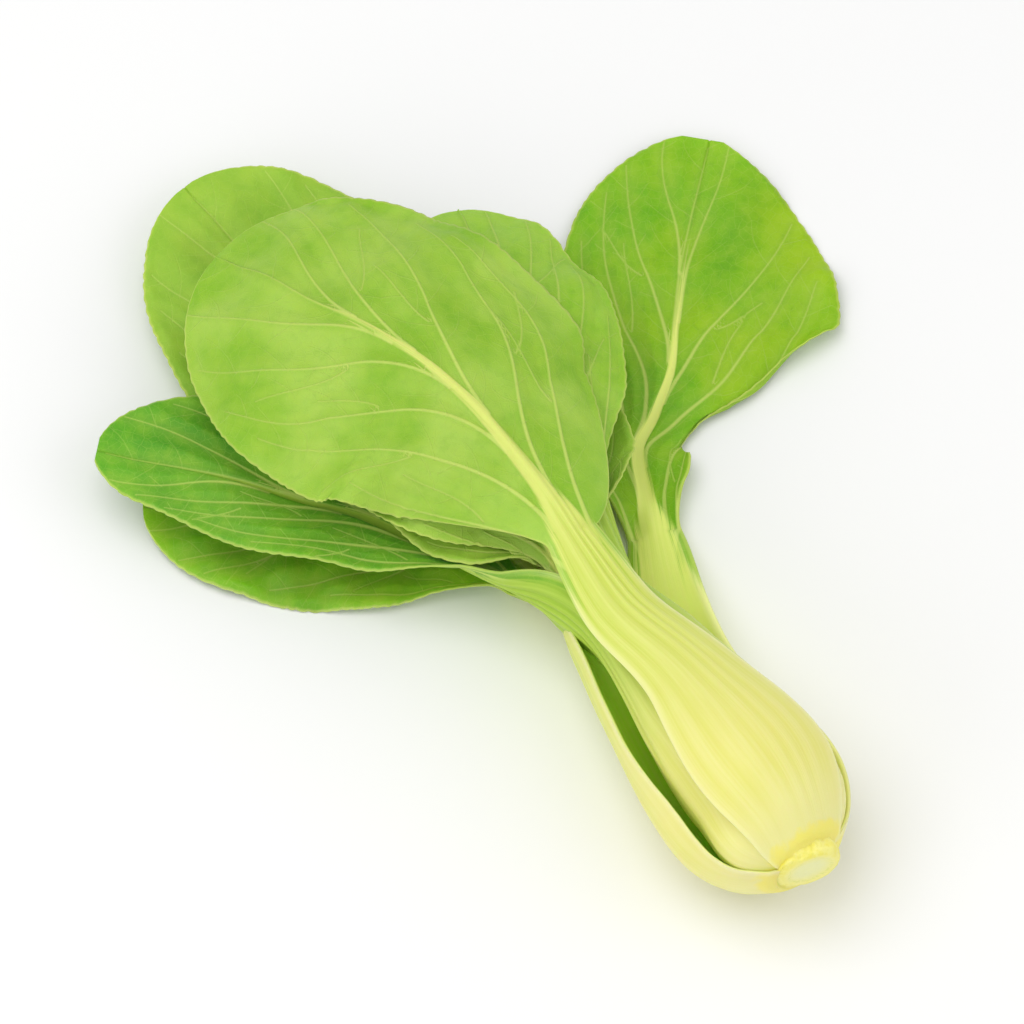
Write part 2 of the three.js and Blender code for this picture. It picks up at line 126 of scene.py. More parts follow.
# Leaves from the outermost in. For each:
#   shift    how far its stalk is off the spiral's azimuth
#   start    where it leaves the stem, from the cut face
#   tuck     how far its stalk lies inside the bulb's surface
#   stalk    half widths, around the bulb, at the base, the bulb and the neck
#   neck     distance along the leaf from its base to where the blade starts
#   blade    half widths on the two sides: (falling azimuth, rising azimuth)
#   wing     extra half width of the blade just past the neck, on the same two sides, where it has any
#   margin   outline of each side of its blade: where it is widest, how slowly it widens, how pointed it is
#   nest     stretch, from the cut face, over which it leaves its neighbours for its own path
#   path     its own path: (x, y, z, azimuth that its outer side faces)
#   cup      curvature across the blade, as 1 / radius: above 0 its inner side is hollow
#   curl     extra turn of the blade's margin towards its inner side, on the same two sides
#   wave     (height, number of waves, phase) of the margin's ripple
#   seed     looks alone: starts the leaf's random draws
#   veins    looks alone: how many side veins leave the midrib on each side
LEAVES = [
    leaf(
        "outer_leaf_near", shift=0, start=2.6, tuck=0, stalk=(12, 27, 13), neck=116,
        blade=(28, 30), margin=(oval(0.56), oval(0.56)), nest=(14, 44),
        path=[
            (-44, -16.8, -16.2, -133), (-56, -15, -15.6, -133), (-70, -12.6, -15, -133),
            (-84, -9.2, -15.7, -134), (-100, -3.5, -18.5, -147), (-118, -4.5, -22.5, -170),
            (-136, -11.5, -24, -180), (-153, -22, -24.3, -180), (-169, -38, -24.3, -180),
            (-181, -56, -24, -180), (-192, -74, -22.5, -180),
        ],
        cup=0.001, curl=(0, 0), wave=(0.8, 3, 0.5), seed=11, veins=5,
    ),
    leaf(
        "outer_leaf_top", shift=3.5, start=2.8, tuck=0, stalk=(13, 20.3, 7.5), neck=110,
        blade=(47, 46), margin=((0.52, 0.8, 0.5), (0.56, 0.5, 0.42)), nest=(45, 85),
        path=[
            (-85, -1, 16, 6), (-102, 0, 15.5, 3), (-120, 0.5, 18.5, 0), (-142, -1, 22.5, 0),
            (-162, -4, 23.5, 0), (-178, -9, 22.5, -2), (-197, -16, 18, -4), (-214, -21, 11.5, -6),
            (-232, -25, 1, -6),
        ],
        cup=0.013, curl=(0, 0), wave=(1.5, 3, 2), seed=5, veins=5,
    ),
    leaf(
        "outer_leaf_far", shift=0, start=3, tuck=0, stalk=(11, 23, 7.5), neck=116,
        blade=(41.5, 31), wing=(14.5, 6), margin=((0.56, 5, 0.8), oval(0.62)), nest=(30, 65),
        path=[
            (-66, 14, -17, 144), (-91.5, 20.5, -19.5, 156), (-110, 28, -22, 170), (-125, 34.5, -24, 179),
            (-136, 40, -24.4, 180), (-143, 50, -24.4, 180), (-151, 60, -24.4, 180), (-162, 69, -24.2, 180),
            (-178, 83, -24, 180), (-192, 97, -23.5, 180), (-202, 107, -22, 180),
        ],
        cup=0.001, curl=(2.6, 0), wave=(0.7, 3, 1), seed=21, veins=5,
    ),
    leaf(
        "middle_leaf_near", shift=8, start=6, tuck=3.5, stalk=(9, 21, 9), neck=108,
        blade=(27, 18), margin=(oval(0.56), oval(0.56)), nest=(72, 100),
        path=[
            (-100, -12.5, -0.5, -88), (-111, -16, -4, -120), (-124, -20, -8, -152), (-146, -30, -10.5, -172),
            (-170, -46, -11, -177), (-190, -63, -10.5, -179), (-206, -79, -9, -179),
        ],
        cup=0.002, curl=(0, 0), wave=(1.2, 3, 0), seed=31, veins=5,
    ),
    leaf(
        "middle_leaf_far", shift=5, start=7, tuck=0.5, stalk=(9, 21, 9), neck=108,
        blade=(30, 30), margin=(oval(0.56), oval(0.56)), nest=(72, 98),
        path=[
            (-98, 10.5, 4, 62), (-108, 12, 5.5, 48), (-120, 14, 9, 28), (-148, 19, 12, 16),
            (-173, 26, 11, 14), (-194, 31, 4.5, 12), (-212, 36, -5, 10),
        ],
        cup=0.013, curl=(0, 0), wave=(1, 3, 1), seed=41, veins=5,
    ),
    leaf(
        "middle_leaf_under", shift=-3, start=8, tuck=1.5, stalk=(9, 21, 9.5), neck=114,
        blade=(36, 39), margin=(oval(0.6), oval(0.6)), nest=(75, 105),
        path=[
            (-102, 0, -12.5, -176), (-114, -1, -14.5, -179), (-132, -3, -17.5, -180), (-165, -6, -19, -180),
            (-200, -9, -19, -180), (-230, -12, -17, -180), (-260, -16, -13, -180),
        ],
        cup=0.001, curl=(0, 0), wave=(1.2, 3, 2), seed=51, veins=5,
    ),
    leaf(
        "inner_leaf_top", shift=0, start=10, tuck=0, stalk=(7, 16, 7), neck=98,
        blade=(24, 22), margin=(oval(0.56), oval(0.56)), nest=(80, 104),
        path=[
            (-104, -1.5, 7, -15), (-118, -2.5, 7.5, -6), (-134, -6, 8.5, 0), (-150, -11, 8.5, 0),
            (-168, -18, 6, 0), (-184, -24, 0, 0),
        ],
        cup=0.014, curl=(0, 0), wave=(0.8, 3, 0), seed=61, veins=5,
    ),
    leaf(
        "inner_leaf_far", shift=0, start=11.5, tuck=0, stalk=(7, 15, 6.5), neck=98,
        blade=(21, 20), margin=(oval(0.56), oval(0.56)), nest=(80, 104),
        path=[
            (-104, 6, -6, 130), (-116, 9, -7.5, 155), (-132, 14, -10, 174), (-150, 20, -11.5, 178),
            (-168, 27, -11.5, 180),
        ],
        cup=0.002, curl=(0, 0), wave=(0.8, 3, 1), seed=71, veins=5,
    ),
    leaf(
        "inner_leaf_near", shift=0, start=13, tuck=0, stalk=(6, 13, 5.5), neck=94,
        blade=(18, 19), margin=(oval(0.56), oval(0.56)), nest=(80, 104),
        path=[
            (-104, -3, -4.5, -135), (-118, -4, -3.5, -165), (-132, -8, -3, -178), (-148, -14, -3.5, -180),
            (-162, -20, -4, -180),
        ],
        cup=0.002, curl=(0, 0), wave=(0.5, 3, 2), seed=81, veins=5,
    ),
    leaf(
        "heart_leaf", shift=0, start=14.5, tuck=0, stalk=(5, 10, 4), neck=86,
        blade=(13, 13), margin=(oval(0.56), oval(0.56)), nest=(80, 104),
        path=[(-104, 1.5, 2, 15), (-118, 1, 3, 8), (-130, 0, 3.5, 2), (-142, -1, 3, 0)],
        cup=0.02, curl=(0, 0), wave=(0.4, 2, 0), seed=91, veins=4,
    ),
]

# Visual detail.
FORK_ROOM = 1.7  # least distance from its vein at which a fork starts to show
TWIG_ROOM = 1.9  # least distance between two of the fine veins
RIBS = 3.4  # ribs on each half of a stalk
RIB_HEIGHT = 0.2
VEIN_HEIGHT = 0.5  # height of a raised vein, as a share of its radius
PUFF = 0.95  # height of the veins over the middle of the flesh between them
SWELL = 0.3  # height of each of the soft swells that add up over a blade
ROW_STEP = 0.78  # spacing of a leaf's rows, along it
HALF_COLUMNS = 60  # columns on each side of the midline
BLADE_THICKNESS = 0.5
CLEARANCE = 0.05  # least height of a leaf over the surface
TIP = 2.5  # half width at which a blade's last row is
HEEL = 2.1  # distance from the cut face at which the stalks' heels end
SCALLOP = (0.35, 3.6)  # height and spacing of the crimps along a blade's margin
CUT_RADIUS = 7.7  # radius of the cut face, out to its rim


# ---- The spiral of stalks --------------------------------------------------------------------------


def turn_of(i):
    turn = FIRST_TURN + i * SPIRAL + LEAVES[i]["shift"]
    return turn - 360 * math.floor(turn / 360 + 0.5)


def wrap_of(facts, d):
    """Half the angle that a stalk wraps at distance d from the cut face."""
    base, bulb, neck = facts["stalk"]
    start = facts["start"]
    along = curve([(start, base), (start + 18, bulb), (60, mix(bulb, neck, 0.5)), (105, neck)])
    return np.degrees(along(d) / bulb_radius(d))


def layer_depth(i, d, azimuth):
    """The depth of bulb that leaf number i takes up at distance d and at an azimuth."""
    facts = LEAVES[i]
    off = azimuth - turn_of(i)
    q = np.abs(off - 360 * np.floor(off / 360 + 0.5)) / wrap_of(facts, d)
    flesh = (stalk_thickness(d - facts["start"]) - EDGE) * np.maximum(0, 1 - q * q)
    tuck = facts["tuck"] * smooth(8, 25, d)
    return flesh + (EDGE + GAP + tuck) * (1 - smooth(1, 1.6, q))


def nest_radius(i, d, azimuth):
    radius = bulb_radius(d) - LEAVES[i]["tuck"] * smooth(8, 25, d)
    for outer in range(i):
        radius = radius - layer_depth(outer, d, azimuth)
    return np.maximum(HEART, radius)


def polar(d, radius, azimuth):
    a = np.radians(azimuth)
    d, radius, a = np.broadcast_arrays(d, radius, a)
    return np.stack([-d, radius * np.sin(a), radius * np.cos(a)], -1)


def unit(v):
    return v / np.maximum(np.linalg.norm(v, axis=-1, keepdims=True), 1e-9)


def midline(i):
    """The midline of a leaf's outer side: functions of the distance along it, and its length."""
    facts = LEAVES[i]
    turn = turn_of(i)
    path = facts["path"]
    stations = []
    for step in (0, 2, 5, 9, 14, 21, 30, 40, 50):
        d = facts["start"] + step
        if d < min(-path[0][0] - 6, facts["nest"][1]):
            stations.append((*polar(d, nest_radius(i, d, turn), turn), turn))
    for x, y, z, azimuth in path:
        off = azimuth - turn
        stations.append((x, y, z, turn + off - 360 * math.floor(off / 360 + 0.5)))
    stations = np.array(stations)
    at = np.concatenate([[0], np.cumsum(np.linalg.norm(np.diff(stations[:, :3], axis=0), axis=1))])
    x, y, z, azimuth = (curve(np.stack([at, stations[:, c]], 1)) for c in range(4))
    length = at[-1]

    def point(s):
        return np.stack([x(s), y(s), z(s)], -1)

    def direction(s):
        return unit(point(np.minimum(length, s + 1)) - point(np.maximum(0, s - 1)))

    return point, direction, azimuth, length


def blade_shape(u, margin):
    """The blade's half width as a share of its widest, by the share of the way from the neck to the tip."""
    widest, slow, pointed = margin
    rising = np.sin(np.pi / 2 * np.clip(u / widest, 0, 1)) ** slow
    past = np.clip((u - widest) / (1 - widest), 0, 1)
    return np.where(u < widest, rising, (1 - past * past) ** pointed)


# ---- Veins -----------------------------------------------------------------------------------------


def midrib_half_width(u, neck):
    """Half the width of the pale midrib band, by the share of the way up the blade."""
    band = curve([(-0.2, neck), (0, neck * 0.8), (0.1, neck * 0.4), (0.22, 2.1)]
                 + [(0.4, 1.4), (0.65, 0.8), (1, 0.3)])
    return band(u)


def wander(rng, n, reach):
    """A smooth sideways wobble that is 0 at its start."""
    t = np.linspace(0, 1, n)
    total = np.zeros(n)
    for k in (1, 2, 3):
        total += rng.normal(0, reach / k) * np.sin(np.pi * k * t + rng.uniform(0, 0.4)) * t
    return total


def vein_tree(facts, length, half_at):
    """The main and the fine veins of a blade, each a list of (points, radii).

    The points are flat: distance past the neck, and offset from the midline. half_at(side, p) gives the
    blade's half width.
    """
    rng = np.random.default_rng(facts["seed"])
    neck = facts["stalk"][2]
    main, fine = [], []
    n = 60
    midrib_p = np.linspace(-0.1, 0.97, n) * length
    midrib_radii = midrib_half_width(midrib_p / length, neck) * 0.45
    main.append((np.stack([midrib_p, wander(rng, n, 0.8)], 1), midrib_radii))
    for side in (-1, 1):
        count = facts["veins"]
        for k in range(count):
            f = max(0.0, k + 0.25 * (side + 1) + rng.uniform(-0.15, 0.15)) / count
            begin = mix(-0.1, 0.74, f**1.15) * length
            end = (0.40 + 0.62 * f**0.55 + rng.uniform(-0.03, 0.03)) * length
            end = min(end, 0.985 * length)
            out = side * half_at(side, end) * mix(0.86, 0.9, f)
            q0 = side * midrib_half_width(begin / length, neck) * 0.75
            run = end - begin
            t = np.linspace(0, 1, n)
            bends = [(begin + 0.36 * run, q0 + 0.06 * out), (begin + 0.5 * run, 0.82 * out)]
            points = bezier([(begin, q0), *bends, (end, out)], t)
            points[:, 1] += wander(rng, n, 1.1)
            radii = mix(0.95 - 0.35 * f, 0.16, t**0.7)
            main.append((points, radii))
            if k < count - 1:
                at = int(n * rng.uniform(0.38, 0.5))
                way = 1 if k % 2 else -1
                heading = unit(points[at + 1] - points[at])
                turned = rotate(heading, way * side * rng.uniform(0.6, 0.9))
                reach = rng.uniform(0.16, 0.26) * length * (1 - 0.3 * f)
                tip = points[at] + reach * unit(heading * 0.75 + turned * 0.6)
                bends = [points[at] + 0.35 * reach * turned, mix(points[at], tip, 0.7)]
                branch = bezier([points[at], *bends, tip], t)
                clear = np.linalg.norm(branch[:, None] - points[None], axis=2).min(axis=1) > FORK_ROOM
                branch = inside(branch[int(np.argmax(clear)) :], half_at, length)
                main.append((branch, mix(radii[at] * 0.62, 0.12, t[: len(branch)])))
    for points, radii in list(main):
        steps = np.linalg.norm(np.diff(points, axis=0), axis=1)
        total = np.concatenate([[0], np.cumsum(steps)])
        at, way = rng.uniform(3, 7), 1
        while at < total[-1] - 2:
            j = int(np.searchsorted(total, at))
            if points[j, 0] > 0.02 * length:
                heading = unit(points[j] - points[j - 1])
                reach = rng.uniform(7, 15)
                turned = rotate(heading, way * rng.uniform(0.8, 1.15))
                bent = rotate(heading, way * rng.uniform(0.35, 0.7))
                steps_up = np.linspace(0, 1, 22)
                knee = points[j] + 0.6 * reach * turned
                bends = [points[j] + 0.3 * reach * turned, knee]
                twig = bezier([points[j], *bends, knee + 0.5 * reach * bent], steps_up)
                twig[:, 0] += wander(rng, 22, 0.35)
                twig = apart(inside(twig, half_at, length), fine)
                if len(twig) > 3:
                    fine.append((twig, mix(0.26, 0.1, steps_up[: len(twig)])))
            at += rng.uniform(4.5, 9)
            way = -way
    return main, fine


def rotate(v, angle):
    c, s = math.cos(angle), math.sin(angle)
    return np.array([c * v[0] - s * v[1], s * v[0] + c * v[1]])


def inside(points, half_at, length):
    """The first stretch of a vein that stays clear of the blade's margin."""
    side = np.sign(points[:, 1])
    room = np.array([half_at(a or 1, p) for a, p in zip(side, points[:, 0])])
    clear = (np.abs(points[:, 1]) < 0.95 * room) & (points[:, 0] < 0.99 * length)
    last = len(points) if clear.all() else max(2, int(np.argmin(clear)))
    return points[:last]


def apart(points, veins):
    """The first stretch of a vein that keeps its distance from the earlier ones."""
    if not veins:
        return points
    taken = np.concatenate([p for p, _ in veins])
    gap = np.linalg.norm(points[:, None] - taken[None], axis=2).min(axis=1)
    return points if gap.min() > TWIG_ROOM else points[: int(np.argmax(gap <= TWIG_ROOM))]


def nearest_vein(veins, flat):
    """For each flat point: the offset to the nearest vein, that vein's radius there, and the distance."""
    at, along, radius = [], [], []
    for points, radii in veins:
        steps = np.linalg.norm(np.diff(points, axis=0), axis=1)
        total = np.concatenate([[0], np.cumsum(steps)])
        dense = np.arange(0, total[-1], 0.4)
        p = np.stack([np.interp(dense, total, points[:, c]) for c in (0, 1)], 1)
        at.append(p)
        along.append(unit(np.gradient(p, axis=0)) if len(p) > 1 else np.array([[1.0, 0.0]] * len(p)))
        radius.append(np.interp(dense, total, radii))
    at, along, radius = np.concatenate(at), np.concatenate(along), np.concatenate(radius)
    tree = KDTree(len(at))
    for k, (p, q) in enumerate(at):
        tree.insert((p, q, 0), k)
    tree.balance()
    found = np.array([tree.find((p, q, 0))[1] for p, q in flat])
    offset = at[found] - flat
    offset -= np.sum(offset * along[found], axis=1, keepdims=True) * along[found]
    near = np.linalg.norm(at[found] - flat, axis=1)
    return offset, radius[found], near


# ---- A leaf's surfaces -----------------------------------------------------------------------------


def leaf_rows(facts, length):
    """Distances along a leaf of its rows, closer together at the base and towards the round tip.

    Those below 0 are the heel, which carries the stalk on down to the stem.
    """
    stalk = facts["neck"] * np.linspace(0, 1, int(facts["neck"] / (ROW_STEP * 1.25)), endpoint=False) ** 1.15
    t = np.linspace(0, 1, int((length - facts["neck"]) / ROW_STEP))
    share = np.where(t < 0.6, t * 1.18, 0.708 + 0.292 * np.sin(np.pi / 2 * (t - 0.6) / 0.4))
    heel = np.linspace(HEEL - facts["start"], 0, 8, endpoint=False)
    return np.concatenate([heel, stalk, facts["neck"] + (length - facts["neck"]) * share])


def leaf_sheet(i):
    """The outer side of leaf number i as a grid of points, with what the later steps need to know."""
    facts = LEAVES[i]
    rng = np.random.default_rng(facts["seed"] + 1000)
    turn = turn_of(i)
    point, direction, azimuth, length = midline(i)
    s = leaf_rows(facts, length)
    v = np.linspace(-1, 1, 2 * HALF_COLUMNS + 1)
    share = np.clip((s - facts["neck"]) / (length - facts["neck"]), 0, 1)
    width = min(facts["blade"]) * np.minimum(*(blade_shape(share, m) for m in facts["margin"]))
    s = s[(share < 0.5) | (width > TIP)]
    centre, along = point(s), direction(np.maximum(s, 0))
    d = np.where(s < 0, facts["start"] + s, -centre[:, 0])
    outward = polar(0.0, 1.0, azimuth(s))
    outward = unit(outward - np.sum(outward * along, -1, keepdims=True) * along)
    across = np.cross(along, outward)
    blade_length = length - facts["neck"]
    u = np.clip((s - facts["neck"]) / blade_length, 0, 1)
    base, bulb, neck = facts["stalk"]
    stalk = curve(
        [(0, base), (18, bulb), (facts["neck"] * 0.55, mix(bulb, neck, 0.5)), (facts["neck"], neck)]
        + [(facts["neck"] + 30, 0)]
    )
    phases = rng.uniform(0, 6.28, (2, 4))

    def half_width(side, s, u):
        which = 0 if side < 0 else 1
        shape = facts["blade"][which] * blade_shape(u, facts["margin"][which])
        uneven = sum(0.012 / (k + 1) * np.sin(9 * (k + 1) * u + phases[which, k]) for k in range(3))
        wing = facts.get("wing", (0, 0))[which] * smooth(0, 0.2, u) * (1 - smooth(0.2, 0.48, u))
        half = np.hypot(stalk(s) * (1 - smooth(0.8, 1, u)) + wing, shape)
        return half * (1 + uneven * smooth(0.05, 0.3, u)) + 0.1

    free = smooth(*facts["nest"], d)[:, None]
    bend = mix(1 / bulb_radius(d), facts["cup"], smooth(0, 0.35, u))[:, None]
    curled = (smooth(0.12, 0.3, u) * (1 - smooth(0.44, 0.6, u)))[:, None]
    rippled = (smooth(0.05, 0.4, u) * (1 - smooth(0.9, 1, u)))[:, None]
    grid = np.zeros((len(s), len(v), 3))
    q = np.zeros((len(s), len(v)))
    for side in (-1, 1):
        columns = HALF_COLUMNS + side * np.arange(HALF_COLUMNS + 1)
        share = np.abs(v[columns])[None, :]
        half = half_width(side, s, u)[:, None]
        tilt = share * np.minimum(bend * half, np.maximum(MOST_BEND, bend * stalk(s)[:, None]))
        tilt = tilt + facts["curl"][0 if side < 0 else 1] * smooth(0.72, 1.05, share) * curled
        step = half / HALF_COLUMNS
        sideways = np.zeros_like(tilt)
        lift = np.zeros_like(tilt)
        sideways[:, 1:] = np.cumsum((np.cos(tilt[:, 1:]) + np.cos(tilt[:, :-1])) / 2 * step, axis=1)
        lift[:, 1:] = -np.cumsum((np.sin(tilt[:, 1:]) + np.sin(tilt[:, :-1])) / 2 * step, axis=1)
        height, waves, phase = facts["wave"]
        ripple = np.sin(2 * np.pi * waves * u[:, None] + phase + 2 * side * share)
        lift += height * share**2 * rippled * ripple
        grid[:, columns] = (
            centre[:, None]
            + across[:, None] * (side * sideways)[..., None]
            + outward[:, None] * lift[..., None]
        )
        q[:, columns] = side * half * share
    spread = turn + v[None, :] * np.minimum(wrap_of(facts, d), MOST_WRAP)[:, None]
    radius = np.stack([nest_radius(i, d, spread[:, c]) for c in range(len(v))], 1)
    nested = polar(d[:, None], radius, spread)
    grid = nested * (1 - free[..., None]) + grid * free[..., None]
    return dict(
        grid=grid, s=s, v=v, u=u, q=q, d=d, outward=outward, along=along, across=across, rng=rng,
        blade_length=blade_length, half_width=half_width, stalk_half=stalk(np.clip(s, 0, facts["neck"])),
    )


def normals_of(grid, outward):
    """Unit normals of a grid of points, on the side that outward gives."""
    du = np.gradient(grid, axis=0)
    dv = np.gradient(grid, axis=1)
    normal = unit(np.cross(du, dv))
    normal[-4:] = normal[-5]  # the corners of the tip's last rows have no steady direction of their own
    flip = np.sign(np.sum(normal * outward[:, None], -1, keepdims=True).mean())
    return normal * flip


def crimp_margin(sheet):
    """Moves the points near a blade's margin in and out, so its outline is finely scalloped."""
    height, spacing = SCALLOP
    rng, grid, u, q, s = sheet["rng"], sheet["grid"], sheet["u"], sheet["q"], sheet["s"]
    for side, column in ((-1, 0), (1, len(sheet["v"]) - 1)):
        edge = np.stack([s, q[:, column]], 1)
        run = np.concatenate([[0], np.cumsum(np.linalg.norm(np.diff(edge, axis=0), axis=1))])
        tangent = unit(np.gradient(edge, axis=0))
        away = np.stack([tangent[:, 1], -tangent[:, 0]], 1) * (1 if side < 0 else -1)
        away *= np.where(np.sum(away * [0, side], 1) < 0, -1, 1)[:, None]
        warp = np.interp(run, np.arange(0, run[-1] + 20, 10), rng.normal(0, 1.2, int(run[-1] / 10) + 3))
        amount = height * (np.abs(np.sin(np.pi * (run + warp) / spacing)) - 0.6)
        amount *= smooth(0.08, 0.3, u) * (1 - smooth(0.93, 1, u))
        amount += rng.normal(0, 0.03, len(run)) * smooth(0.1, 0.3, u)
        weight = smooth(0.86, 1.0, np.abs(sheet["v"]))
        weight = np.where(np.sign(sheet["v"]) == side, weight, 0)[None, :, None]
        push = away[:, :1] * sheet["along"] + away[:, 1:] * sheet["across"]
        grid += weight * (amount[:, None] * push)[:, None]


def swelling(seed, flat):
    """Soft uneven swells of a blade, 16 to 42 apart: the sum of seven plane waves."""
    rng = np.random.default_rng(seed + 500)
    total = np.zeros(flat.shape[:2])
    for _ in range(7):
        way = rng.uniform(0, np.pi)
        wave = 2 * np.pi / rng.uniform(16, 42)
        across = flat[..., 0] * math.cos(way) + flat[..., 1] * math.sin(way)
        total += np.sin(wave * across + rng.uniform(0, 6.28))
    return SWELL * total


def stalk_ribs(facts, sheet):
    """The phase of the stalk's ribs, in turns, and their height, which fades out past the neck."""
    s, seed = sheet["s"], facts["seed"]
    w = np.clip(sheet["q"] / sheet["stalk_half"][:, None], -1.6, 1.6)
    phase = RIBS * w + 0.3 * np.sin(5.3 * w + seed) + 0.055 * np.sin(s / 31 + seed)[:, None]
    height = (1 - smooth(0.45, 0.95, np.abs(w))) * mix(0.05, RIB_HEIGHT, smooth(40, 100, s))[:, None]
    height = height * (1 - smooth(0.02, 0.2, sheet["u"][:, None])) * smooth(4, 14, s)[:, None]
    return phase, height


def relief(facts, sheet, flat, vein, near, ribs):
    """The points of a leaf's outer side and inner side: its sheet with reliefs and a thickness.

    vein and near are the radius of the nearest main vein and the distance to it. The reliefs are along the
    outward normal. The flesh swells out between the veins on the inner side.
    """
    s, v, u, q = (sheet[k] for k in ("s", "v", "u", "q"))
    uu = u[:, None]
    normal = normals_of(sheet["grid"], sheet["outward"])
    in_blade = smooth(0.0, 0.22, uu)
    at_tip = 1 - smooth(0.9, 0.99, uu)
    band = np.where(uu <= 0, np.abs(q).max(axis=1)[:, None], midrib_half_width(uu, facts["stalk"][2]))
    bump = np.clip(1 - (np.abs(q) / band) ** 2, 0, 1)
    midrib = mix(stalk_thickness(s), 1.0, smooth(0, 0.75, u))[:, None]
    recess = 0.5 * midrib * smooth(0, 0.12, uu) * (1 - bump)
    ridge = VEIN_HEIGHT * vein * np.exp(-((near / (vein + 0.35)) ** 2)) * in_blade * at_tip
    puff = PUFF * smooth(0.4, 6, near) * smooth(0.05, 0.3, uu) * at_tip
    puff = puff * (1 - smooth(0.9, 1, np.abs(v)))[None, :]
    root = 0.9 * (1 - smooth(0, 2.5, s - s[0]))[:, None]
    swell = swelling(facts["seed"], flat) * smooth(0.05, 0.35, uu) * at_tip
    level = -recess - puff - root + swell
    outer = sheet["grid"] + normal * (level + ribs + ridge)[..., None]

    taper = np.sqrt(np.clip(1 - (np.clip(np.abs(v) - 0.9, 0, 1) / 0.101) ** 2, 0.02, 1))[None, :]
    lamina = mix(EDGE, BLADE_THICKNESS, in_blade)
    depth = np.where(uu <= 0, midrib - EDGE, (midrib - EDGE) * mix(1, 0.45, smooth(0, 0.12, uu)))
    thickness = lamina * mix(0.45, 1, taper) + depth * bump + root * 0.2
    groove = 0.18 * vein * np.exp(-((near / (vein + 0.4)) ** 2)) * in_blade
    inner = sheet["grid"] + normal * (level - thickness - groove)[..., None]

    # Where a blade lies on the surface, its swells don't sink into it.
    outer[..., 2] = np.maximum(outer[..., 2], FLOOR_Z + CLEARANCE)
    inner[..., 2] = np.maximum(inner[..., 2], FLOOR_Z + CLEARANCE + 0.4)
    return outer, inner


def leaf_faces(rows, columns):
    """The quads of a leaf: its outer side, its inner side and the rim that joins them."""
    index = np.arange(rows * columns).reshape(rows, columns)
    under = index + rows * columns
    return np.concatenate([
        np.stack([corner.ravel() for corner in corners], 1)
        for corners in (
            (index[:-1, :-1], index[:-1, 1:], index[1:, 1:], index[1:, :-1]),
            (under[:-1, :-1], under[1:, :-1], under[1:, 1:], under[:-1, 1:]),
            (index[:-1, 0], index[1:, 0], under[1:, 0], under[:-1, 0]),
            (index[:-1, -1], under[:-1, -1], under[1:, -1], index[1:, -1]),
            (index[0, :-1], under[0, :-1], under[0, 1:], index[0, 1:]),
            (index[-1, :-1], index[-1, 1:], under[-1, 1:], under[-1, :-1]),
        )
    ])


def stalkness_of(facts, sheet, flat):
    """1 on the pale stalk and midrib and 0 on the green blade."""
    neck, length = facts["stalk"][2], sheet["blade_length"]
    pale = curve(
        [(-34, 2 * neck), (-12, 1.1 * neck), (0, 0.8 * neck), (0.1 * length, 0.36 * neck)]
        + [(0.2 * length, 1.9), (0.4 * length, 1.2), (0.65 * length, 0.7), (length, 0.2)]
    )
    past_neck, offset = flat[..., 0], np.abs(flat[..., 1])
    stalkness = 1 - smooth(0.4, 1.5, offset / pale(past_neck)) * smooth(-36, -6, past_neck)
    return stalkness * (1 - smooth(0.3, 0.98, sheet["u"][:, None]))


def leaf_piece(i, material):
    """The finished mesh of leaf number i."""
    facts = LEAVES[i]
    sheet = leaf_sheet(i)
    crimp_margin(sheet)
    s, v, q = sheet["s"], sheet["v"], sheet["q"]
    shape, length = q.shape, sheet["blade_length"]
    flat = np.stack([np.broadcast_to((s - facts["neck"])[:, None], shape), q], -1)

    def half_at(side, p):
        share = np.clip(p / length, 0, 1)
        return float(sheet["half_width"](side, facts["neck"] + p, share))

    main_veins, fine_veins = vein_tree(facts, length, half_at)
    to_main, main_radius, main_near = nearest_vein(main_veins, flat.reshape(-1, 2))
    to_fine, fine_radius, fine_near = nearest_vein(fine_veins, flat.reshape(-1, 2))
    phase, height = stalk_ribs(facts, sheet)
    ribs = height * np.cos(2 * np.pi * phase)
    sides = relief(facts, sheet, flat, main_radius.reshape(shape), main_near.reshape(shape), ribs)
    vertices = np.concatenate([points.reshape(-1, 3) for points in sides])
    piece = make_mesh(facts["name"] + "_look", vertices, leaf_faces(*shape), material)

    # What the material reads, for the outer side and then the inner side.
    half = np.where(v < 0, np.maximum(np.abs(q[:, :1]), 1), np.maximum(np.abs(q[:, -1:]), 1))
    margin = (1 - np.abs(v))[None, :] * half
    stalkness = stalkness_of(facts, sheet, flat)
    from_cut = np.broadcast_to(sheet["d"][:, None], shape)
    blank = np.zeros(shape)
    for name, values in (
        ("flat", (flat[..., 0], q, np.broadcast_to(v, shape))),
        ("main_vein", (to_main[:, 0], to_main[:, 1], main_radius)),
        ("fine_vein", (to_fine[:, 0], to_fine[:, 1], fine_radius)),
        ("near", (main_near, fine_near, margin)),
        ("ribs", (phase, blank, blank)),
    ):
        one_side = np.stack([value.ravel() for value in values], 1)
        vector_attribute(piece, name, np.concatenate([one_side, one_side]))
    parts = [np.stack([stalkness.ravel(), (blank + face).ravel(), from_cut.ravel()], 1) for face in (0, 1)]
    vector_attribute(piece, "parts", np.concatenate(parts))
    return piece


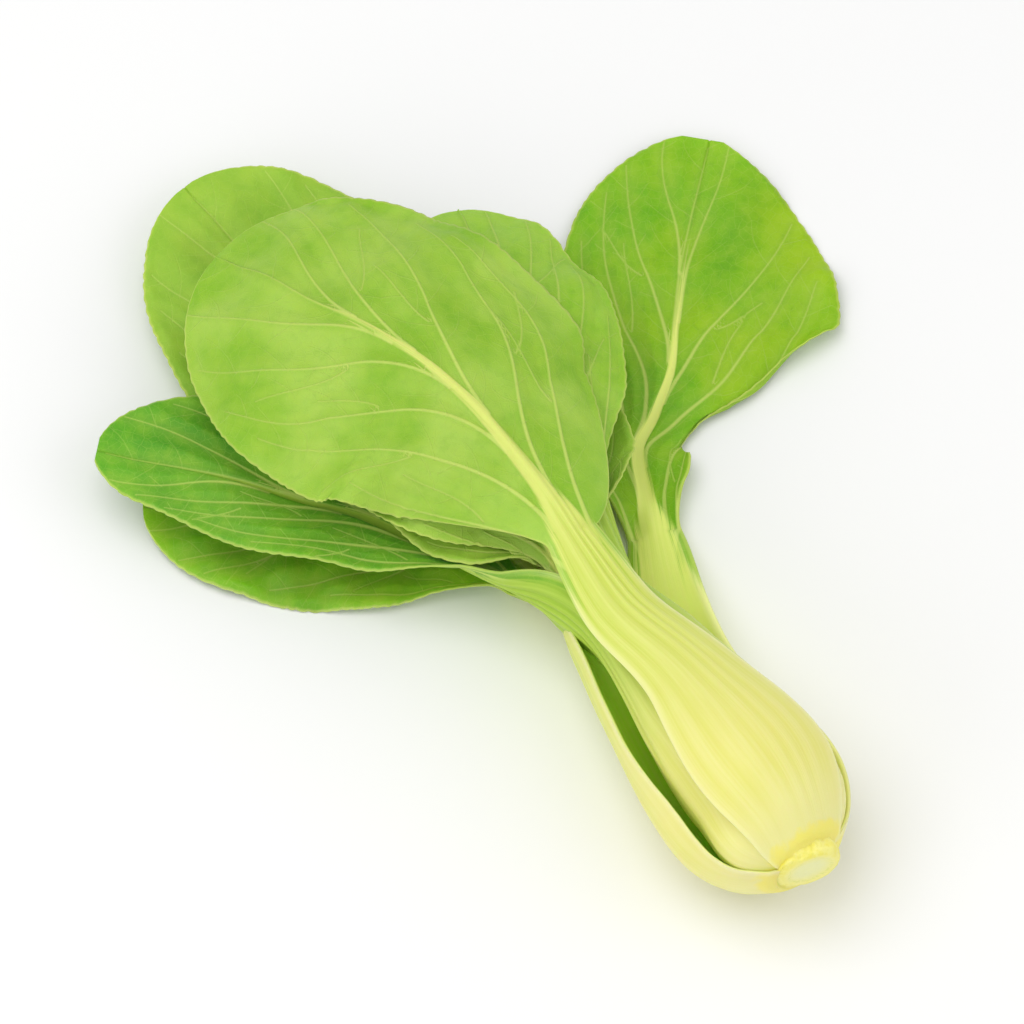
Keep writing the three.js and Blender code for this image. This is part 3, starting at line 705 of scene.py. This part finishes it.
def make_mesh(name, vertices, faces, material):
    """A smooth-shaded object from points in the head's frame and quads."""
    mesh = bpy.data.meshes.new(name)
    mesh.vertices.add(len(vertices))
    mesh.vertices.foreach_set("co", (vertices * MM + ORIGIN).astype(np.float32).ravel())
    mesh.loops.add(faces.size)
    mesh.loops.foreach_set("vertex_index", faces.astype(np.int32).ravel())
    mesh.polygons.add(len(faces))
    mesh.polygons.foreach_set("loop_start", np.arange(0, faces.size, 4, dtype=np.int32))
    mesh.polygons.foreach_set("loop_total", np.full(len(faces), 4, dtype=np.int32))
    mesh.polygons.foreach_set("use_smooth", np.ones(len(faces), dtype=bool))
    mesh.update(calc_edges=True)
    mesh.validate()
    mesh.materials.append(material)
    piece = bpy.data.objects.new(name, mesh)
    bpy.context.scene.collection.objects.link(piece)
    return piece


def vector_attribute(piece, name, values):
    attribute = piece.data.attributes.new(name, "FLOAT_VECTOR", "POINT")
    attribute.data.foreach_set("vector", values.astype(np.float32).ravel())


# ---- Materials -------------------------------------------------------------------------------------


class Graph:
    """Short calls for making a material's nodes."""

    def __init__(self, name):
        self.material = bpy.data.materials.new(name)
        self.material.use_nodes = True
        self.tree = self.material.node_tree
        self.shader = self.tree.nodes["Principled BSDF"]

    def node(self, kind, inputs=None, **settings):
        made = self.tree.nodes.new(kind)
        for key, value in settings.items():
            setattr(made, key, value)
        for key, value in (inputs or {}).items():
            self.set(made.inputs[key], value)
        return made

    def set(self, socket, value):
        if isinstance(value, bpy.types.NodeSocket):
            self.tree.links.new(value, socket)
        else:
            socket.default_value = value

    def attribute(self, name):
        vector = self.node("ShaderNodeAttribute", attribute_name=name).outputs["Vector"]
        parts = self.node("ShaderNodeSeparateXYZ", {0: vector})
        return vector, parts.outputs[0], parts.outputs[1], parts.outputs[2]

    def math(self, operation, a, b=0.0, clamp=False):
        return self.node("ShaderNodeMath", {0: a, 1: b}, operation=operation, use_clamp=clamp).outputs[0]

    def ramp(self, value, low, high, to_low=0.0, to_high=1.0):
        return self.node(
            "ShaderNodeMapRange",
            {"Value": value, "From Min": low, "From Max": high, "To Min": to_low, "To Max": to_high},
            interpolation_type="SMOOTHSTEP",
        ).outputs[0]

    def mix(self, factor, a, b):
        made = self.node("ShaderNodeMix", data_type="RGBA")
        self.set(made.inputs["Factor"], factor)
        self.set(made.inputs[6], a)  # 6, 7 and output 2 are the colours among the node's sockets
        self.set(made.inputs[7], b)
        return made.outputs[2]

    def noise(self, vector, scale, detail=2.0, roughness=0.5):
        return self.node(
            "ShaderNodeTexNoise",
            {"Vector": vector, "Scale": scale, "Detail": detail, "Roughness": roughness},
        ).outputs["Fac"]

    def cells(self, vector, scale):
        return self.node(
            "ShaderNodeTexVoronoi", {"Vector": vector, "Scale": scale, "Randomness": 1.0},
            feature="DISTANCE_TO_EDGE", voronoi_dimensions="2D",
        ).outputs["Distance"]

    def bump(self, height, strength, distance):
        inputs = {"Height": height, "Strength": strength, "Distance": distance}
        return self.node("ShaderNodeBump", inputs).outputs[0]


def rgb(red, green, blue):
    return (red, green, blue, 1.0)


def leaf_material(name, tone):
    """A leaf: its stalk, its two faces, its veins and its margin, in the colours that tone gives."""
    g = Graph(name)
    flat, p, q, _ = g.attribute("flat")
    _, main_x, main_y, main_r = g.attribute("main_vein")
    _, fine_x, fine_y, fine_r = g.attribute("fine_vein")
    _, main_near, fine_near, margin = g.attribute("near")
    _, stalk, face, along = g.attribute("parts")
    _, rib_phase, _, _ = g.attribute("ribs")

    def vein_line(x, y, r, near, widen, soft):
        """1 on a vein and 0 off it. Midway between two veins the offset is small too, but near isn't."""
        off = g.math("SQRT", g.math("ADD", g.math("MULTIPLY", x, x), g.math("MULTIPLY", y, y)))
        edge = g.math("ADD", g.math("MULTIPLY", r, widen), soft)
        share = g.math("DIVIDE", g.math("SUBTRACT", edge, off), soft * 2, clamp=True)
        clear = g.math("SUBTRACT", near, r)
        return g.math("MULTIPLY", share, g.ramp(clear, 0.66, 0.42))

    main_line = vein_line(main_x, main_y, main_r, main_near, 0.8, 0.22)
    fine_line = vein_line(fine_x, fine_y, fine_r, fine_near, 0.7, 0.12)
    halo = g.ramp(main_near, 4.5, 0.0)
    blotch = g.noise(flat, 0.035, 3.0)
    mottle = g.noise(flat, 0.22, 4.0, 0.6)
    grain = g.noise(flat, 1.6, 3.0, 0.6)
    drift = g.node("ShaderNodeTexNoise", {"Vector": flat, "Scale": 0.35, "Detail": 2.0}).outputs["Color"]
    drifted = g.node("ShaderNodeVectorMath", {0: flat, 1: drift}, operation="ADD").outputs[0]
    net_line = g.ramp(g.cells(drifted, 0.42), 0.07, 0.0)
    small_net = g.ramp(g.cells(flat, 1.15), 0.1, 0.0)

    dark = tone["dark"]
    back = g.mix(g.ramp(blotch, 0.35, 0.68), *tone["back"])
    front = g.mix(g.ramp(blotch, 0.68, 0.33), *tone["front"])
    # Painted light: the front is mixed towards a brighter yellow green on one side of the midline, as if lit
    # from that side.
    front = g.mix(g.math("MULTIPLY", g.ramp(q, 8.0, -34.0), tone["sunny"]), front, rgb(0.42, 0.60, 0.004))
    front = g.mix(g.math("MULTIPLY", g.ramp(main_near, 2.5, 9.0), 0.22), front, dark)
    green = g.mix(face, back, front)
    green = g.mix(g.math("MULTIPLY", g.ramp(mottle, 0.4, 0.75), 0.28), green, rgb(0.42, 0.62, 0.05))
    green = g.mix(g.math("MULTIPLY", g.ramp(mottle, 0.5, 0.25), 0.22), green, dark)
    green = g.mix(g.math("MULTIPLY", small_net, 0.10), green, rgb(0.42, 0.66, 0.10))
    green = g.mix(g.math("MULTIPLY", net_line, 0.16), green, rgb(0.46, 0.68, 0.12))
    green = g.mix(g.math("MULTIPLY", grain, 0.08), green, dark)
    green = g.mix(g.math("MULTIPLY", halo, 0.14), green, rgb(0.5, 0.66, 0.10))
    green = g.mix(g.math("MULTIPLY", fine_line, 0.26), green, rgb(0.48, 0.67, 0.12))
    # Painted shade: a thin darker band along each side of a main vein, where the raised vein shades the
    # flesh at its foot.
    shade = g.math("MULTIPLY", g.ramp(g.math("SUBTRACT", main_near, main_r), 1.6, 0.2), 0.12)
    green = g.mix(shade, green, dark)
    painted = g.math("MULTIPLY", main_line, g.ramp(main_r, 0.1, 0.8, 0.55, 0.95))
    green = g.mix(painted, green, rgb(0.55, 0.70, 0.14))
    green = g.mix(g.math("MULTIPLY", g.ramp(margin, 0.9, 0.1), 0.55), green, rgb(0.60, 0.70, 0.16))

    wave = g.math("COSINE", g.math("MULTIPLY", rib_phase, 2 * math.pi))
    long_way, cross_way = g.math("MULTIPLY", p, 0.012), g.math("MULTIPLY", rib_phase, 2.6)
    stretched = g.node("ShaderNodeCombineXYZ", {0: long_way, 1: cross_way, 2: 0.0}).outputs[0]
    strand = g.noise(stretched, 3.0, 4.0, 0.55)
    uneven = g.math("MULTIPLY", g.math("SUBTRACT", strand, 0.5), 1.5)
    streak = g.ramp(g.math("ADD", g.math("MULTIPLY", wave, 0.2), uneven), -0.55, 0.5)
    neck = g.mix(streak, *tone["neck"])
    bulb = g.mix(streak, rgb(0.77, 0.74, 0.18), rgb(0.83, 0.79, 0.28))
    bulb = g.mix(g.math("MULTIPLY", g.ramp(along, 22.0, 4.0), 0.7), bulb, rgb(0.89, 0.85, 0.38))
    fleshy = g.mix(g.ramp(along, 26.0, 98.0), bulb, neck)
    collar = g.ramp(g.math("ADD", along, g.math("MULTIPLY", mottle, 5.0)), 8.6, 6.6)
    fleshy = g.mix(g.math("MULTIPLY", collar, 0.85), fleshy, rgb(0.92, 0.83, 0.15))
    inner_side = g.mix(g.math("MULTIPLY", streak, 0.35), tone["hollow"], rgb(0.80, 0.84, 0.24))
    fleshy = g.mix(g.math("MULTIPLY", face, g.ramp(along, 118.0, 95.0, 0.0, 0.85)), fleshy, inner_side)
    fleshy = g.mix(g.math("MULTIPLY", g.ramp(margin, 2.2, 0.2), 0.5), fleshy, rgb(0.93, 0.91, 0.50))
    fleshy = g.mix(g.math("MULTIPLY", grain, 0.10), fleshy, rgb(0.70, 0.72, 0.10))
    fleshy = g.mix(g.math("MULTIPLY", g.ramp(p, -12.0, 22.0), 0.75), fleshy, tone["neck"][1])
    fingers = g.math("ADD", stalk, g.math("MULTIPLY", g.math("SUBTRACT", streak, 0.5), 0.5))
    colour = g.mix(g.ramp(fingers, 0.2, 0.8), green, fleshy)
    g.set(g.shader.inputs["Base Color"], colour)

    rough = g.math("ADD", g.ramp(stalk, 0.0, 1.0, 0.47, 0.34), g.math("MULTIPLY", mottle, 0.12))
    g.set(g.shader.inputs["Roughness"], rough)
    g.set(g.shader.inputs["Specular IOR Level"], 0.25)
    g.set(g.shader.inputs["Subsurface Weight"], tone["glow"][0])
    g.set(g.shader.inputs["Subsurface Radius"], (0.6, 1.0, 0.25))
    g.set(g.shader.inputs["Subsurface Scale"], tone["glow"][1])

    in_blade = g.math("SUBTRACT", 1.0, stalk, clamp=True)
    way = g.ramp(face, 0.0, 1.0, 1.0, -0.6)
    raised = g.math("ADD", g.math("MULTIPLY", main_line, 0.9), g.math("MULTIPLY", fine_line, 0.45))
    raised = g.math("ADD", raised, g.math("MULTIPLY", net_line, 0.22))
    raised = g.math("ADD", raised, g.math("MULTIPLY", small_net, 0.10))
    relief = g.math("MULTIPLY", g.math("MULTIPLY", raised, in_blade), way)
    relief = g.math("ADD", relief, g.math("MULTIPLY", grain, 0.10))
    relief = g.math("ADD", relief, g.math("MULTIPLY", g.math("MULTIPLY", strand, stalk), 0.3))
    g.set(g.shader.inputs["Normal"], g.bump(relief, 0.75, 0.00028))
    return g.material


def stem_material():
    """The cut stem: a moist pale cut face in a yellow rim, and a knobbly yellow side."""
    g = Graph("stem_flesh_look")
    _, radius, side, _ = g.attribute("cut")
    where = g.node("ShaderNodeTexCoord").outputs["Object"]
    mottle = g.noise(where, 420.0, 4.0, 0.6)
    fibre = g.noise(where, 1500.0, 3.0, 0.6)
    ring = g.ramp(g.math("ABSOLUTE", g.math("SUBTRACT", radius, 0.72)), 0.10, 0.0)
    face = g.mix(g.ramp(radius, 0.35, 0.95), rgb(0.86, 0.86, 0.42), rgb(0.91, 0.85, 0.24))
    face = g.mix(g.math("MULTIPLY", ring, g.ramp(fibre, 0.45, 0.6)), face, rgb(0.80, 0.80, 0.24))
    skin = g.mix(g.ramp(mottle, 0.35, 0.65), rgb(0.88, 0.80, 0.13), rgb(0.93, 0.87, 0.26))
    skin = g.mix(g.math("MULTIPLY", g.ramp(fibre, 0.5, 0.7), 0.35), skin, rgb(0.74, 0.74, 0.10))
    colour = g.mix(side, face, skin)
    g.set(g.shader.inputs["Base Color"], colour)
    g.set(g.shader.inputs["Roughness"], g.math("ADD", 0.34, g.math("MULTIPLY", mottle, 0.25)))
    g.set(g.shader.inputs["Subsurface Weight"], 0.2)
    g.set(g.shader.inputs["Subsurface Radius"], (1.0, 1.0, 0.4))
    g.set(g.shader.inputs["Subsurface Scale"], 0.003)
    height = g.math("ADD", g.math("MULTIPLY", mottle, 0.6), g.math("MULTIPLY", fibre, 0.4))
    g.set(g.shader.inputs["Normal"], g.bump(height, 0.5, 0.0004))
    return g.material


# ---- The cut stem ----------------------------------------------------------------------------------


def stem_piece(material):
    """The stem: a knobbly collar of trimmed leaf bases, cut off askew, and a cone up inside the leaves."""
    rng = np.random.default_rng(7)
    sides = 220
    profile = curve_of_points(
        [(0, 0.7), (3.0, 0.6), (5.3, 0.3), (6.5, 0), (7.4, 0.2), (8.2, 0.9), (8.8, 1.8), (9.1, 2.7)]
        + [(9.0, 3.5), (7.4, 4.6), (5.2, 7), (4.2, 11), (2.8, 17), (1.4, 23.4), (0, 24)],
        130,
    )
    angle = np.linspace(0, 2 * np.pi, sides, endpoint=False)
    radius = profile[:, :1] * np.ones(sides)
    depth = profile[:, 1:] * np.ones(sides)
    collar = smooth(4.5, 8.6, radius) * (1 - smooth(3, 6, depth))
    lobes = sum(rng.normal(0, 0.5 / k**0.6) * np.cos(k * angle + rng.uniform(0, 6.28)) for k in range(2, 8))
    steps = 0.55 * smooth(0.1, 0.6, np.sin(2.5 * angle + 0.8)) * (1 - smooth(0.9, 1.7, depth))
    rough = np.zeros_like(radius)
    for row in range(len(profile)):
        for column in range(sides):
            place = Vector((radius[row, column] * math.cos(angle[column]), depth[row, column],
                            radius[row, column] * math.sin(angle[column])))
            rough[row, column] = 0.5 * noise.noise(place / 2.6) + 0.28 * noise.noise(place / 1.1)
    radius = radius + collar * (0.45 * lobes + steps + rough)
    face = 1 - smooth(0, 3.2, profile[:, 1:])
    depth = depth + face * (0.5 - 0.26 * radius * np.cos(angle - 1.25) + 0.3 * rough)
    points = np.stack([-depth, radius * np.sin(angle), radius * np.cos(angle)], -1)
    index = np.arange(radius.size).reshape(radius.shape)
    following = np.roll(index, -1, axis=1)
    faces = np.stack([index[:-1], index[1:], following[1:], following[:-1]], -1).reshape(-1, 4)
    piece = make_mesh("cut_stem_look", points.reshape(-1, 3), faces, material)
    share = profile[:, :1] / CUT_RADIUS * np.ones(sides)
    side = np.maximum(smooth(0.86, 0.98, share), smooth(0.8, 1.4, profile[:, 1:] * np.ones(sides)))
    values = np.stack([share.ravel(), side.ravel(), np.zeros(radius.size)], 1)
    vector_attribute(piece, "cut", values)
    return piece


def curve_of_points(points, count):
    """Points evenly spaced along a smooth curve through the given ones."""
    points = np.array(points, float)
    at = np.concatenate([[0], np.cumsum(np.linalg.norm(np.diff(points, axis=0), axis=1))])
    t = np.linspace(0, at[-1], count)
    return np.stack([curve(np.stack([at, points[:, c]], 1))(t) for c in (0, 1)], 1)


# ---- The object ------------------------------------------------------------------------------------

OPEN_HOLLOW = rgb(0.72, 0.83, 0.17)
PALE_NECK = (rgb(0.56, 0.67, 0.08), rgb(0.70, 0.77, 0.19))
LIT_HOLLOW = rgb(0.84, 0.93, 0.21)
LIT_NECK = (rgb(0.74, 0.88, 0.14), rgb(0.88, 0.98, 0.24))
GREEN_NECK = (rgb(0.30, 0.50, 0.03), rgb(0.42, 0.60, 0.07))
# Painted light: a brighter, more saturated green for the leafy tone's stalk hollow, standing in for light
# that shines through the leaf and bounces inside the shaded hollow.
PAINTED_LIGHT_HOLLOW = rgb(0.60, 0.98, 0.02)


def tones(back, front, dark, hollow=OPEN_HOLLOW, neck=PALE_NECK, sunny=0.0,
          glow=(0.18, 0.004)):
    """A leaf's colours: two of each side, its darkest, its stalk's inside, and two of its neck.

    sunny is how far one side of the front of its blade is painted a brighter yellow green: painted light, on
    the side that the light falls on. glow is its subsurface weight and scale.
    """
    back, front = ([rgb(*colour) for colour in pair] for pair in (back, front))
    return dict(back=back, front=front, dark=rgb(*dark), hollow=hollow, neck=neck, sunny=sunny, glow=glow)


TONES = {
    "pale": tones([(0.24, 0.49, 0.02), (0.39, 0.62, 0.08)], [(0.26, 0.50, 0.03), (0.34, 0.56, 0.05)],
                  (0.13, 0.36, 0.01)),
    "fresh": tones([(0.26, 0.53, 0.02), (0.34, 0.60, 0.06)], [(0.22, 0.48, 0.02), (0.30, 0.55, 0.04)],
                   (0.08, 0.30, 0.01), neck=GREEN_NECK),
    # The rich tone paints light on one side of its blade's front.
    "rich": tones([(0.27, 0.50, 0.02), (0.33, 0.55, 0.04)], [(0.15, 0.46, 0.004), (0.28, 0.55, 0.002)],
                  (0.06, 0.26, 0.008), hollow=LIT_HOLLOW, neck=LIT_NECK, sunny=0.4),
    # The leafy tone's hollow colour is painted light, brighter than the other hollows.
    "leafy": tones([(0.24, 0.47, 0.02), (0.30, 0.52, 0.03)], [(0.15, 0.49, 0.008), (0.22, 0.57, 0.012)],
                   (0.06, 0.26, 0.008), hollow=PAINTED_LIGHT_HOLLOW, glow=(0.36, 0.010)),
    "deep": tones([(0.15, 0.40, 0.02), (0.22, 0.48, 0.03)], [(0.08, 0.33, 0.010), (0.14, 0.43, 0.012)],
                  (0.04, 0.19, 0.01), neck=GREEN_NECK),
}
TONE_OF = {
    "outer_leaf_near": "leafy",
    "outer_leaf_far": "rich",
    "middle_leaf_near": "deep",
    "middle_leaf_far": "fresh",
}

materials = {tone: leaf_material("leaf_" + tone, colours) for tone, colours in TONES.items()}
for number, facts in enumerate(LEAVES):
    look = leaf_piece(number, materials[TONE_OF.get(facts["name"], "pale")])
    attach(look, "root")
    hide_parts(facts["name"])

stem = stem_piece(stem_material())
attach(stem, "root")
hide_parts("cut_stem")


# ---- Floor, light and camera -----------------------------------------------------------------------


def floor_piece():
    mesh = bpy.data.meshes.new("floor")
    half = 3.0
    corners = [(-half, -half, 0), (half, -half, 0), (half, half, 0), (-half, half, 0)]
    mesh.from_pydata(corners, [], [(0, 1, 2, 3)])
    g = Graph("floor_look")
    g.set(g.shader.inputs["Base Color"], rgb(0.93, 0.93, 0.925))
    g.set(g.shader.inputs["Roughness"], 0.75)
    mesh.materials.append(g.material)
    floor = bpy.data.objects.new("floor", mesh)
    bpy.context.scene.collection.objects.link(floor)
    return floor


floor_piece()

AZIMUTH, ELEVATION = math.radians(56), math.radians(60)
RIGHT = np.array([math.cos(AZIMUTH), math.sin(AZIMUTH), 0])
BACK = np.array(
    [math.sin(AZIMUTH) * math.cos(ELEVATION), -math.cos(AZIMUTH) * math.cos(ELEVATION), math.sin(ELEVATION)]
)
UP = np.cross(BACK, RIGHT)
DISTANCE = 6.0  # metres from the camera to the middle of the picture
VIEW_WIDTH = 0.256  # metres across the picture there
aim = ORIGIN + MM * (-75 * RIGHT + 90 * UP)


def area_light(name, offset, size, power):
    data = bpy.data.lights.new(name, "AREA")
    data.shape = "DISK"
    data.size = size
    data.energy = power
    light = bpy.data.objects.new(name, data)
    light.location = Vector(aim + offset)
    light.rotation_euler = (Vector(aim) - light.location).to_track_quat("-Z", "Y").to_euler()
    bpy.context.scene.collection.objects.link(light)


area_light("key", -0.35 * RIGHT + 0.55 * UP + 0.9 * BACK, 1.1, 5.3)
area_light("fill", -0.75 * RIGHT - 0.45 * UP + 0.6 * BACK, 0.9, 2.2)
area_light("rim", 0.8 * RIGHT + 0.1 * UP + 0.7 * BACK, 1.0, 1.8)

world = bpy.data.worlds.new("studio")
world.use_nodes = True
world.node_tree.nodes["Background"].inputs["Color"].default_value = rgb(1.0, 1.0, 1.0)
world.node_tree.nodes["Background"].inputs["Strength"].default_value = 0.66
bpy.context.scene.world = world

camera_data = bpy.data.cameras.new("camera")
camera_data.sensor_width = 36
camera_data.lens = 36 * DISTANCE / VIEW_WIDTH
camera_data.clip_end = 100
camera = bpy.data.objects.new("camera", camera_data)
camera.location = Vector(aim + BACK * DISTANCE)
camera.rotation_euler = Vector(BACK).to_track_quat("Z", "Y").to_euler()
bpy.context.scene.collection.objects.link(camera)
bpy.context.scene.camera = camera
bpy.context.scene.view_settings.view_transform = "Standard"
